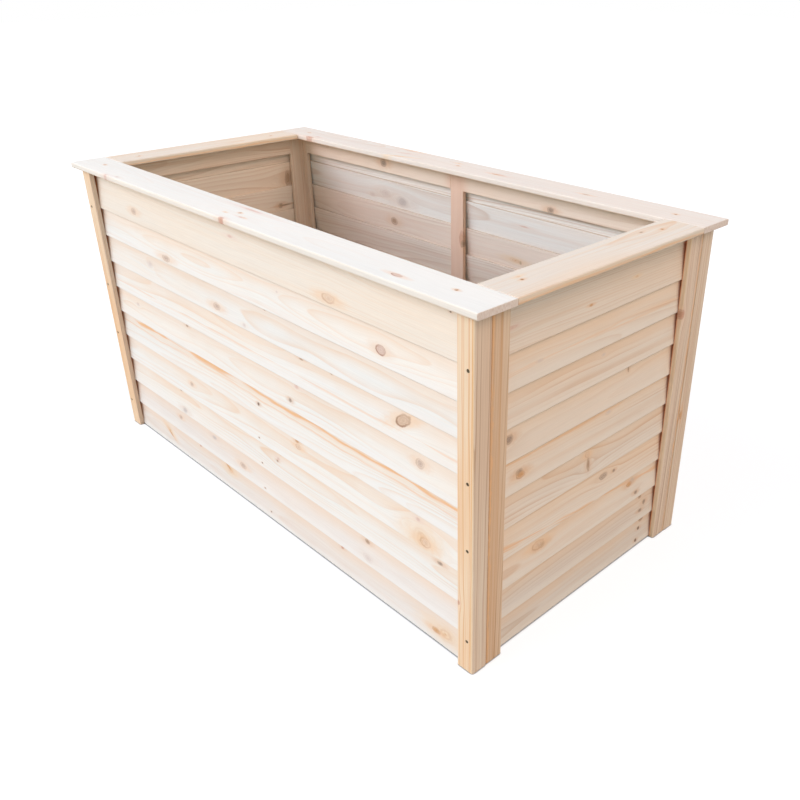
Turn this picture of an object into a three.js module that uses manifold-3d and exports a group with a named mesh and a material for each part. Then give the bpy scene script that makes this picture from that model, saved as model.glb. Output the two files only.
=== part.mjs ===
// Raised garden bed: a bottomless box of lapped softwood boards with a flat rim.
// Millimetres, +Z up, X along the length, the front wall faces -Y.
// The origin is on the ground at the middle of the bed.
import * as THREE from 'three';
import { mergeVertices } from 'three/addons/utils/BufferGeometryUtils.js';
import Module from 'manifold-3d';

const manifold = await Module();
manifold.setup();

// --- driving dimensions ---------------------------------------------------------------------

// Whole bed, measured over the rim.
const RIM_LENGTH = 1540;
const RIM_WIDTH = 768;
const HEIGHT = 800;

// Rim boards, and how far they stand out past the walls.
const RIM_BOARD_WIDTH = 97;
const RIM_THICKNESS = 14;
const RIM_EDGE_RADIUS = 3;
const RIM_END_OVERHANG = 20;
const RIM_SIDE_OVERHANG = 17;

// Lapped wall boards: parallel boards, each leaning out over the one below it.
const COURSES = 10;
const BOARD_WIDTH = 105;
const BOARD_THICKNESS = 6.5;
const BOARD_EDGE_RADIUS = 1.5;
const BOARD_GROUND_GAP = 3;
const BOARD_RIM_GAP = 0.7;

// Corner mouldings: L-shaped lengths that close the ends of the long walls.
const MOULDING_FACE = 44;
const MOULDING_WALL = 12;
const MOULDING_CORNER_RADIUS = 5;
const MOULDING_EDGE_RADIUS = 3;

// Flat battens outside the short walls, just behind the corner mouldings.
const END_BATTEN_WIDTH = 46;
const END_BATTEN_THICKNESS = 12;
const END_BATTEN_SETBACK = 1;
const END_BATTEN_RADIUS = 3.5;

// Battens and top rails inside the walls.
const INNER_THICKNESS = 12;
const INNER_RADIUS = 2.5;
const CORNER_BATTEN_WIDTH = 47;
const LONG_WALL_BATTEN_INSET = 15;
const MIDDLE_BATTEN_WIDTH = 49;
const RAIL_HEIGHT = 50;

// Cut ends of the outer uprights and of the rim boards are eased by this much.
const UPRIGHT_END_EASE = 1.2;
const RIM_END_EASE = 0.8;

// Screw holes: a countersink for the head, sunk below the surface, down to the shank.
const MOULDING_SCREW_HEAD = 8;
const RIM_SCREW_HEAD = 6;
const SCREW_SHANK = 3.5;
const SCREW_SINK = 0.8;
const SCREW_CONE = 2.6;

// The moulding is screwed where these boards, counted from the lowest as 0, lap the one below.
const MOULDING_SCREW_COURSES = [1, 4, 6, 9];
const MOULDING_SCREW_FROM_CORNER = 16.5;
const MOULDING_SCREW_ABOVE_LAP = 1.5;

// The rim is screwed down into the rails: near the ends of each board, and halfway along a
// long one.
const LONG_RIM_SCREW_FROM_END = 98;
const SHORT_RIM_SCREW_FROM_END = 71;

// Clearances: between lapped boards, between boards and battens, and where two lengths meet.
const LAP_CLEARANCE = 0.3;
const SEAT_CLEARANCE = 0.3;
const JOINT_CLEARANCE = 0.4;

// Lengths that are one piece run this far into each other.
const JOIN_OVERLAP = 0.5;

// Straight segments in each rounded edge, and round a screw hole.
const EDGE_SEGMENTS = 3;
const HOLE_SEGMENTS = 12;

// --- worked out from them -------------------------------------------------------------------

const wallHeight = HEIGHT - RIM_THICKNESS;
const halfLength = RIM_LENGTH / 2 - RIM_END_OVERHANG;
const halfWidth = RIM_WIDTH / 2 - RIM_SIDE_OVERHANG;
const lap = lapOfBoards();

// Depth of each layer behind the outer face of a wall.
const boardZone = lap.depth + 2 * SEAT_CLEARANCE;
const longWall = wallLayers(MOULDING_WALL);
const endWall = wallLayers(END_BATTEN_SETBACK + END_BATTEN_THICKNESS);

// The inner corner batten of a long wall, measured along X from the middle.
const longBattenOuter = halfLength - LONG_WALL_BATTEN_INSET;
const longBattenInner = longBattenOuter - CORNER_BATTEN_WIDTH;

// The inner corner batten of a short wall, measured along Y from the middle.
const endBattenOuter = halfWidth - longWall.inside;
const endBattenInner = endBattenOuter - CORNER_BATTEN_WIDTH;

// Slope and spacing of the boards. The spacing fills the wall from the ground gap to the rim,
// and the slope lets each board clear the next, so the two settle together.
function lapOfBoards() {
  const climb = wallHeight - BOARD_GROUND_GAP - BOARD_RIM_GAP;
  const settlingPasses = 4;
  let exposure = (climb - BOARD_WIDTH) / (COURSES - 1);
  let sine = 0;
  let cosine = 1;
  for (let pass = 0; pass < settlingPasses; pass++) {
    sine = (BOARD_THICKNESS + LAP_CLEARANCE) / exposure;
    cosine = Math.sqrt(1 - sine ** 2);
    exposure = (climb - BOARD_WIDTH * cosine) / (COURSES - 1);
  }
  const depth = BOARD_WIDTH * sine + BOARD_THICKNESS * cosine;
  return { exposure, sine, cosine, depth };
}

function wallLayers(outerDepth) {
  const boards = outerDepth + SEAT_CLEARANCE;
  const inner = outerDepth + boardZone;
  const inside = inner + INNER_THICKNESS;
  return { boards, inner, inside };
}

// --- outlines and solids --------------------------------------------------------------------

// A closed outline through the given corners, each [x, y, radius], run anticlockwise.
function roundedOutline(corners) {
  const outline = [];
  const count = corners.length;
  corners.forEach(([x, y, radius], index) => {
    const corner = new THREE.Vector2(x, y);
    if (!radius) {
      outline.push(corner);
      return;
    }
    const before = new THREE.Vector2(...corners[(index + count - 1) % count]);
    const after = new THREE.Vector2(...corners[(index + 1) % count]);
    const toBefore = before.sub(corner).normalize();
    const toAfter = after.sub(corner).normalize();
    const halfAngle = Math.acos(toBefore.dot(toAfter)) / 2;
    const setback = radius / Math.tan(halfAngle);
    const centre = toBefore.clone().add(toAfter).normalize();
    centre.multiplyScalar(radius / Math.sin(halfAngle)).add(corner);
    const start = toBefore.multiplyScalar(setback).add(corner).sub(centre);
    const sweep = Math.PI - 2 * halfAngle;
    for (let step = 0; step <= EDGE_SEGMENTS; step++) {
      const turned = start.clone().rotateAround(new THREE.Vector2(), sweep * step / EDGE_SEGMENTS);
      outline.push(turned.add(centre));
    }
  });
  return outline;
}

// A rectangle from (x0, y0) to (x1, y1) with all four corners rounded.
function roundedRectangle(x0, y0, x1, y1, radius) {
  return roundedOutline([[x0, y0, radius], [x1, y0, radius], [x1, y1, radius], [x0, y1, radius]]);
}

// The same outline mirrored about X = 0, Y = 0 or both, still anticlockwise.
function mirrored(corners, signX, signY) {
  const moved = corners.map(([x, y, radius]) => [x * signX, y * signY, radius]);
  return signX * signY < 0 ? moved.reverse() : moved;
}

// An upright length standing on the ground, its cut ends eased by a small chamfer.
function upright(outline, height, ease) {
  const geometry = new THREE.ExtrudeGeometry(new THREE.Shape(outline), {
    depth: height - 2 * ease,
    bevelEnabled: ease > 0,
    bevelThickness: ease,
    bevelSize: ease,
    bevelOffset: -ease,
    bevelSegments: 1,
  });
  return geometry.translate(0, 0, ease);
}

// A level length along X, centred, with its section given as (depth from front to back, height).
function level(outline, length, ease = 0) {
  const geometry = upright(outline, length, ease);
  geometry.translate(0, 0, -length / 2);
  const toWall = new THREE.Matrix4().makeBasis(
    new THREE.Vector3(0, 1, 0),
    new THREE.Vector3(0, 0, 1),
    new THREE.Vector3(1, 0, 0),
  );
  return geometry.applyMatrix4(toWall);
}

function toSolid(geometry) {
  const bare = geometry.clone();
  bare.deleteAttribute('normal');
  bare.deleteAttribute('uv');
  const merged = mergeVertices(bare);
  return new manifold.Manifold(new manifold.Mesh({
    numProp: 3,
    vertProperties: new Float32Array(merged.attributes.position.array),
    triVerts: new Uint32Array(merged.index.array),
  }));
}

function fromSolid(solid) {
  const mesh = solid.getMesh();
  const geometry = new THREE.BufferGeometry();
  geometry.setAttribute('position', new THREE.BufferAttribute(mesh.vertProperties, mesh.numProp));
  geometry.setIndex(new THREE.BufferAttribute(mesh.triVerts, 1));
  geometry.computeVertexNormals();
  return geometry;
}

// Lengths that run into each other, joined into one solid.
function joined(geometries) {
  return fromSolid(geometries.map(toSolid).reduce((sum, solid) => sum.add(solid)));
}

// A screw hole opening towards +Y, with its mouth centred on the origin.
function screwHole(head) {
  const profile = [
    new THREE.Vector2(0, -SCREW_SINK - SCREW_CONE),
    new THREE.Vector2(SCREW_SHANK / 2, -SCREW_SINK - SCREW_CONE),
    new THREE.Vector2(head / 2, -SCREW_SINK),
    new THREE.Vector2(head / 2, SCREW_SINK),
    new THREE.Vector2(0, SCREW_SINK),
  ];
  return new THREE.LatheGeometry(profile, HOLE_SEGMENTS);
}

// The length with the given screw holes cut out of it.
function drilled(geometry, holes) {
  return fromSolid(holes.map(toSolid).reduce((solid, hole) => solid.subtract(hole),
    toSolid(geometry)));
}

// --- named pieces ---------------------------------------------------------------------------

const COLOURS = {
  board: 0xe9d3b2,
  moulding: 0xe2bd86,
  batten: 0xe0b57a,
  rim: 0xf0e1cb,
  inner: 0xcfae84,
};

function piece(name, geometry, colour) {
  const material = new THREE.MeshStandardMaterial({ color: colour, roughness: 0.7, metalness: 0 });
  const mesh = new THREE.Mesh(geometry, material);
  mesh.name = name;
  return mesh;
}

// --- walls ----------------------------------------------------------------------------------

// A wall's own frame: its outer face is the plane y = 0, facing -Y, and x runs along it.
function wallFrame(distance, turn) {
  const turned = new THREE.Group();
  turned.rotation.z = turn;
  const wall = new THREE.Group();
  wall.position.y = -distance;
  turned.add(wall);
  return { turned, wall };
}

// Section of one board: its lower edge is the outermost, its upper edge the innermost.
function boardSection(face, bottom) {
  const outerTop = [face + BOARD_WIDTH * lap.sine, bottom + BOARD_WIDTH * lap.cosine];
  const inward = [BOARD_THICKNESS * lap.cosine, -BOARD_THICKNESS * lap.sine];
  return roundedOutline([
    [face, bottom, BOARD_EDGE_RADIUS],
    [face + inward[0], bottom + inward[1], BOARD_EDGE_RADIUS],
    [outerTop[0] + inward[0], outerTop[1] + inward[1], BOARD_EDGE_RADIUS],
    [outerTop[0], outerTop[1], BOARD_EDGE_RADIUS],
  ]);
}

function boardBottom(course) {
  return BOARD_GROUND_GAP + course * lap.exposure;
}

function addBoards(wall, side, face, length) {
  for (let course = 0; course < COURSES; course++) {
    const label = String(course + 1).padStart(2, '0');
    const board = level(boardSection(face, boardBottom(course)), length);
    wall.add(piece(`${side}_board_${label}`, board, COLOURS.board));
  }
}

// A rail right under the rim, in the layer of the inner battens.
function rail(layers, length) {
  const section = roundedRectangle(
    layers.inner, wallHeight - RAIL_HEIGHT, layers.inside, wallHeight, INNER_RADIUS);
  return level(section, length);
}

// Middle batten with a rail on each side of it.
function innerFrame() {
  const halfBatten = MIDDLE_BATTEN_WIDTH / 2;
  const batten = upright(roundedRectangle(
    -halfBatten, longWall.inner, halfBatten, longWall.inside, INNER_RADIUS), wallHeight, 0);
  const railStart = halfBatten - JOIN_OVERLAP;
  const railLength = longBattenInner - JOINT_CLEARANCE - railStart;
  const offset = railStart + railLength / 2;
  const rails = [-offset, offset].map((x) => rail(longWall, railLength).translate(x, 0, 0));
  return joined([batten, ...rails]);
}

function longWallGroup(side, turn) {
  const { turned, wall } = wallFrame(halfWidth, turn);
  const boardLength = 2 * (halfLength - MOULDING_WALL - JOINT_CLEARANCE);
  addBoards(wall, side, longWall.boards, boardLength);
  wall.add(piece(`${side}_inner_frame`, innerFrame(), COLOURS.inner));
  return turned;
}

function endWallGroup(side, turn) {
  const { turned, wall } = wallFrame(halfLength, turn);
  const boardLength = 2 * (endBattenOuter - JOINT_CLEARANCE);
  addBoards(wall, side, endWall.boards, boardLength);
  const railLength = 2 * (endBattenInner - JOINT_CLEARANCE);
  wall.add(piece(`${side}_top_rail`, rail(endWall, railLength), COLOURS.inner));
  return turned;
}

// --- corners --------------------------------------------------------------------------------

// Each corner is drawn for the quarter where X and Y are positive, then mirrored.
function cornerMoulding(signX, signY) {
  const innerX = halfLength - MOULDING_WALL;
  const innerY = halfWidth - MOULDING_WALL;
  const corners = [
    [halfLength, endBattenOuter, MOULDING_EDGE_RADIUS],
    [halfLength, halfWidth, MOULDING_CORNER_RADIUS],
    [halfLength - MOULDING_FACE, halfWidth, MOULDING_EDGE_RADIUS],
    [halfLength - MOULDING_FACE, innerY, 0],
    [innerX, innerY, 0],
    [innerX, endBattenOuter, 0],
  ];
  const outline = roundedOutline(mirrored(corners, signX, signY));
  const holes = MOULDING_SCREW_COURSES.map((course) => {
    const hole = screwHole(MOULDING_SCREW_HEAD);
    hole.rotateZ(signY > 0 ? 0 : Math.PI);
    return hole.translate(
      signX * (halfLength - MOULDING_SCREW_FROM_CORNER),
      signY * halfWidth,
      boardBottom(course) + MOULDING_SCREW_ABOVE_LAP,
    );
  });
  return drilled(upright(outline, wallHeight, UPRIGHT_END_EASE), holes);
}

function endBatten(signX, signY) {
  const outerX = halfLength - END_BATTEN_SETBACK;
  const outerY = endBattenOuter - JOINT_CLEARANCE;
  const corners = [
    [outerX, outerY - END_BATTEN_WIDTH, END_BATTEN_RADIUS],
    [outerX, outerY, END_BATTEN_RADIUS],
    [outerX - END_BATTEN_THICKNESS, outerY, 0],
    [outerX - END_BATTEN_THICKNESS, outerY - END_BATTEN_WIDTH, 0],
  ];
  const outline = roundedOutline(mirrored(corners, signX, signY));
  return upright(outline, wallHeight, UPRIGHT_END_EASE);
}

// Two inner battens at right angles: one on the long wall, and one on the short wall that
// butts against its face.
function innerPost(signX, signY) {
  const longBatten = [
    [longBattenInner, endBattenOuter, INNER_RADIUS],
    [longBattenOuter, endBattenOuter, INNER_RADIUS],
    [longBattenOuter, endBattenOuter + INNER_THICKNESS, INNER_RADIUS],
    [longBattenInner, endBattenOuter + INNER_THICKNESS, INNER_RADIUS],
  ];
  const faceX = halfLength - endWall.inside;
  const backX = halfLength - endWall.inner;
  const shortBatten = [
    [faceX, endBattenInner, INNER_RADIUS],
    [backX, endBattenInner, INNER_RADIUS],
    [backX, endBattenOuter + JOIN_OVERLAP, 0],
    [faceX, endBattenOuter + JOIN_OVERLAP, 0],
  ];
  const lengths = [longBatten, shortBatten].map((corners) =>
    upright(roundedOutline(mirrored(corners, signX, signY)), wallHeight, 0));
  return joined(lengths);
}

function addCorners(bed) {
  for (const [endName, signX] of [['left', -1], ['right', 1]]) {
    for (const [sideName, signY] of [['front', -1], ['back', 1]]) {
      const corner = `${sideName}_${endName}`;
      const moulding = cornerMoulding(signX, signY);
      bed.add(piece(`corner_moulding_${corner}`, moulding, COLOURS.moulding));
      bed.add(piece(`end_batten_${corner}`, endBatten(signX, signY), COLOURS.batten));
      bed.add(piece(`inner_post_${corner}`, innerPost(signX, signY), COLOURS.inner));
    }
  }
}

// --- rim ------------------------------------------------------------------------------------

// A rim board along X, centred, with screw holes at these places along and across it.
function rimBoard(length, screwsAlong, screwsAcross) {
  const halfBoard = RIM_BOARD_WIDTH / 2;
  const section = roundedRectangle(-halfBoard, wallHeight, halfBoard, HEIGHT, RIM_EDGE_RADIUS);
  const holes = screwsAlong.map((along) =>
    screwHole(RIM_SCREW_HEAD).rotateX(Math.PI / 2).translate(along, screwsAcross, HEIGHT));
  return drilled(level(section, length, RIM_END_EASE), holes);
}

// The front and back boards run the whole length, and the end boards fit between them. Each is
// drawn as the front board lies, with its outer edge towards -Y, and is then turned.
function addRim(bed) {
  const longDistance = (RIM_WIDTH - RIM_BOARD_WIDTH) / 2;
  const shortDistance = (RIM_LENGTH - RIM_BOARD_WIDTH) / 2;
  const longRail = halfWidth - (longWall.inner + longWall.inside) / 2;
  const shortRail = halfLength - (endWall.inner + endWall.inside) / 2;
  const shortLength = RIM_WIDTH - 2 * (RIM_BOARD_WIDTH + JOINT_CLEARANCE);
  const longScrew = RIM_LENGTH / 2 - LONG_RIM_SCREW_FROM_END;
  const shortScrew = shortLength / 2 - SHORT_RIM_SCREW_FROM_END;
  const boards = [
    ['front', 0, RIM_LENGTH, longDistance, longRail, [-longScrew, 0, longScrew]],
    ['right', Math.PI / 2, shortLength, shortDistance, shortRail, [-shortScrew, shortScrew]],
    ['back', Math.PI, RIM_LENGTH, longDistance, longRail, [-longScrew, 0, longScrew]],
    ['left', -Math.PI / 2, shortLength, shortDistance, shortRail, [-shortScrew, shortScrew]],
  ];
  for (const [side, turn, length, distance, railDistance, screws] of boards) {
    const { turned, wall } = wallFrame(distance, turn);
    const board = rimBoard(length, screws, distance - railDistance);
    wall.add(piece(`rim_${side}`, board, COLOURS.rim));
    bed.add(turned);
  }
}

// --- the bed --------------------------------------------------------------------------------

const bed = new THREE.Group();
bed.add(longWallGroup('front', 0));
bed.add(longWallGroup('back', Math.PI));
bed.add(endWallGroup('right', Math.PI / 2));
bed.add(endWallGroup('left', -Math.PI / 2));
addCorners(bed);
addRim(bed);

export default bed;
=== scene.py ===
"""Looks of the raised garden bed: pale planed softwood, its knots and grain, and its screws."""
import math
import random
from collections import namedtuple

import bmesh
import bpy
from mathutils import Matrix, Vector


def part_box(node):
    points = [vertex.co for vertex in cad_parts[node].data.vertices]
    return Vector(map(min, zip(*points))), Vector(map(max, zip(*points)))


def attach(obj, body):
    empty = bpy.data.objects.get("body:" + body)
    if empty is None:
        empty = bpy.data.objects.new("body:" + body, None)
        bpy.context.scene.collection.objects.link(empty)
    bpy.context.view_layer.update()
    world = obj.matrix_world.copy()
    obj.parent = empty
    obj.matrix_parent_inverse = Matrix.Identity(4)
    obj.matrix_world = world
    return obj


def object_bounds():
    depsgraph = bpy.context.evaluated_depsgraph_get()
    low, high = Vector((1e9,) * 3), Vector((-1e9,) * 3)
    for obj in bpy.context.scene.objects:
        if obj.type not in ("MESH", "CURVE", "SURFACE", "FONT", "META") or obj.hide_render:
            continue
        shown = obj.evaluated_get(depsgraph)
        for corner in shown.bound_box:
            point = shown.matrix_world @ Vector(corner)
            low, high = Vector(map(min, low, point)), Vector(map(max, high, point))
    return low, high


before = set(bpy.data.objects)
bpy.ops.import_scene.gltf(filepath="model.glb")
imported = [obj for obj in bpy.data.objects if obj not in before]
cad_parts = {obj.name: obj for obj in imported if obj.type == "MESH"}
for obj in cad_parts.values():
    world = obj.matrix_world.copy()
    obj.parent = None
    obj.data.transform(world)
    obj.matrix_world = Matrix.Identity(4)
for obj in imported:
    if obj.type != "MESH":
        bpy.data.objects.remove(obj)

CAD_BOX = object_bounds()
MM = 0.001


# --- camera, light and floor ----------------------------------------------------------------

CAMERA_PLACE = Vector((1.6166, -1.2580, 1.2895))
CAMERA_TURN = math.radians(45.19)
CAMERA_DOWN = math.radians(28.07)
CAMERA_ROLL = math.radians(0.056)
FRAME_PIXELS = 800
FOCAL_PIXELS = 836.1
OPTICAL_CENTRE = (462.1, 403.8)
SENSOR = 36


def add_camera():
    data = bpy.data.cameras.new("camera")
    data.sensor_fit = "HORIZONTAL"
    data.sensor_width = SENSOR
    data.lens = SENSOR * FOCAL_PIXELS / FRAME_PIXELS
    data.shift_x = 0.5 - OPTICAL_CENTRE[0] / FRAME_PIXELS
    data.shift_y = OPTICAL_CENTRE[1] / FRAME_PIXELS - 0.5
    data.clip_start = 0.05
    camera = bpy.data.objects.new("camera", data)
    turn = Matrix.Rotation(CAMERA_TURN, 4, "Z")
    tilt = Matrix.Rotation(math.pi / 2 - CAMERA_DOWN, 4, "X")
    roll = Matrix.Rotation(CAMERA_ROLL, 4, "Z")
    camera.matrix_world = Matrix.Translation(CAMERA_PLACE) @ turn @ tilt @ roll
    bpy.context.scene.collection.objects.link(camera)
    bpy.context.scene.camera = camera


# The light is soft: a pale horizon all round, a dimmer ceiling and three wide lamps. Each lamp
# has the way it comes from, its angle in degrees and its strength in red, green and blue.
HORIZON = (1.26, 1.17, 0.98, 1)
CEILING = (0.03, 0.16, 0.36, 1)
LAMP_DISTANCE = 4
LAMPS = {
    "front": ((-0.25, -0.80, 0.50), 30, (1.00, 0.84, 0.96)),
    "left": ((-0.70, -0.60, 0.40), 40, (1.18, 1.45, 1.68)),
    "right": ((0.60, 0.10, 0.75), 40, (1.26, 0.92, 0.75)),
}


def seen_directly(tree):
    """1 where the camera, a reflection or a view through glass meets the surface, or else 0."""
    paths = tree.add("ShaderNodeLightPath")
    seen = tree.math("MAXIMUM", paths.outputs["Is Camera Ray"], paths.outputs["Is Glossy Ray"])
    return tree.math("MAXIMUM", seen, paths.outputs["Is Transmission Ray"])


def add_world():
    world = bpy.data.worlds.new("studio")
    world.use_nodes = True
    bpy.context.scene.world = world
    tree = Nodes(world.node_tree)
    height = tree.split(tree.add("ShaderNodeTexCoord").outputs["Generated"])[2]
    height = tree.math("MAXIMUM", height, 0.0)
    soft = tree.add("ShaderNodeBackground", Color=tree.blend(height, HORIZON, CEILING))
    white = tree.add("ShaderNodeBackground", Color=(1, 1, 1, 1), Strength=1.0)
    both = tree.add("ShaderNodeMixShader")
    tree.link(seen_directly(tree), both.inputs[0])
    tree.link(soft.outputs[0], both.inputs[1])
    tree.link(white.outputs[0], both.inputs[2])
    output = tree.add("ShaderNodeOutputWorld")
    tree.link(both.outputs[0], output.inputs[0])


def add_lamps():
    for name, (come_from, spread, colour) in LAMPS.items():
        come_from = Vector(come_from)
        data = bpy.data.lights.new(name, "SUN")
        data.energy = max(colour)
        data.color = [share / max(colour) for share in colour]
        data.angle = math.radians(spread)
        lamp = bpy.data.objects.new(name, data)
        lamp.rotation_mode = "QUATERNION"
        lamp.rotation_quaternion = come_from.to_track_quat("Z", "Y")
        lamp.location = come_from * LAMP_DISTANCE
        bpy.context.scene.collection.objects.link(lamp)


FLOOR_SIZE = 40
FLOOR_COLOUR = (0.28, 0.28, 0.28, 1)
FLOOR_WHITENESS = 0.80
# This close to the bed, in metres, the floor loses its whiteness as it gets less open: a painted
# contact shadow.
CONTACT_SHADOW_REACH = 0.006
CONTACT_SHADOW_OPENNESS = (0.3, 0.9)


def add_floor():
    """A plane that throws little light back but looks white, and still shows a soft shadow."""
    mesh = bpy.data.meshes.new("floor")
    half = FLOOR_SIZE / 2
    corners = [(-half, -half, 0), (half, -half, 0), (half, half, 0), (-half, half, 0)]
    mesh.from_pydata(corners, [], [(0, 1, 2, 3)])
    floor = bpy.data.objects.new("floor", mesh)
    bpy.context.scene.collection.objects.link(floor)
    material = bpy.data.materials.new("floor")
    material.use_nodes = True
    tree = Nodes(material.node_tree)
    matt = tree.add("ShaderNodeBsdfDiffuse", Color=FLOOR_COLOUR)
    # Painted contact shadow: the floor's white fades where ambient occlusion finds the bed close by.
    near = tree.add("ShaderNodeAmbientOcclusion", Distance=CONTACT_SHADOW_REACH).outputs["AO"]
    share = tree.math("MULTIPLY", seen_directly(tree), FLOOR_WHITENESS)
    share = tree.math("MULTIPLY", share, tree.ranged(near, *CONTACT_SHADOW_OPENNESS))
    white = tree.add("ShaderNodeEmission", Color=(1, 1, 1, 1), Strength=share)
    both = tree.add("ShaderNodeAddShader")
    tree.link(matt.outputs[0], both.inputs[0])
    tree.link(white.outputs[0], both.inputs[1])
    output = tree.add("ShaderNodeOutputMaterial")
    tree.link(both.outputs[0], output.inputs[0])
    mesh.materials.append(material)


# --- short calls for shader nodes -----------------------------------------------------------

class Nodes:
    """A node tree that starts empty. Each value given may be a number or another's output."""

    def __init__(self, tree):
        self.tree = tree
        tree.nodes.clear()

    def link(self, source, target):
        self.tree.links.new(source, target)

    def set(self, socket, value):
        if isinstance(value, bpy.types.NodeSocket):
            self.link(value, socket)
        else:
            socket.default_value = value

    def add(self, kind, settings=(), **values):
        node = self.tree.nodes.new(kind)
        for name, value in dict(settings).items():
            setattr(node, name, value)
        for name, value in values.items():
            self.set(node.inputs[name.replace("_", " ")], value)
        return node

    def put(self, node, values):
        for title, value in values.items():
            self.set(node.inputs[title], value)

    def math(self, operation, *values, clamp=False):
        node = self.add("ShaderNodeMath", {"operation": operation, "use_clamp": clamp})
        for socket, value in zip(node.inputs, values):
            self.set(socket, value)
        return node.outputs[0]

    def vector(self, operation, *values):
        node = self.add("ShaderNodeVectorMath", {"operation": operation})
        for socket, value in zip(node.inputs, values):
            self.set(socket, value)
        return node.outputs[1 if operation in ("LENGTH", "DISTANCE", "DOT_PRODUCT") else 0]

    def combine(self, x, y, z):
        return self.add("ShaderNodeCombineXYZ", X=x, Y=y, Z=z).outputs[0]

    def split(self, vector):
        return self.add("ShaderNodeSeparateXYZ", Vector=vector).outputs

    def ranged(self, value, low, high, to_low=0.0, to_high=1.0, smooth=True):
        node = self.add("ShaderNodeMapRange", {
            "interpolation_type": "SMOOTHSTEP" if smooth else "LINEAR"})
        for name, given in (("Value", value), ("From Min", low), ("From Max", high),
                            ("To Min", to_low), ("To Max", to_high)):
            self.set(node.inputs[name], given)
        return node.outputs[0]

    def noise(self, vector, scale, detail=2.0, roughness=0.5):
        node = self.add("ShaderNodeTexNoise", Vector=vector, Scale=scale, Detail=detail,
                        Roughness=roughness)
        return node.outputs["Fac"]

    def noise_along(self, value, scale, detail=1.0):
        node = self.add("ShaderNodeTexNoise", {"noise_dimensions": "1D"}, W=value, Scale=scale,
                        Detail=detail)
        return node.outputs["Fac"]

    def blend(self, share, below, above, mode="MIX"):
        node = self.add("ShaderNodeMix", {"data_type": "RGBA", "blend_type": mode})
        self.set(node.inputs[0], share)
        self.set(node.inputs[6], below)
        self.set(node.inputs[7], above)
        return node.outputs[2]


def new_group(name, inputs, outputs):
    """An empty node group, its nodes, its input sockets by name and its output node."""
    group = bpy.data.node_groups.new(name, "ShaderNodeTree")
    for title, kind in inputs:
        group.interface.new_socket(title, in_out="INPUT", socket_type=f"NodeSocket{kind}")
    for title, kind in outputs:
        group.interface.new_socket(title, in_out="OUTPUT", socket_type=f"NodeSocket{kind}")
    nodes = Nodes(group)
    entry = nodes.add("NodeGroupInput")
    sockets = {title: entry.outputs[title] for title, kind in inputs}
    return group, nodes, sockets, nodes.add("NodeGroupOutput")


# --- softwood -------------------------------------------------------------------------------

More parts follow.
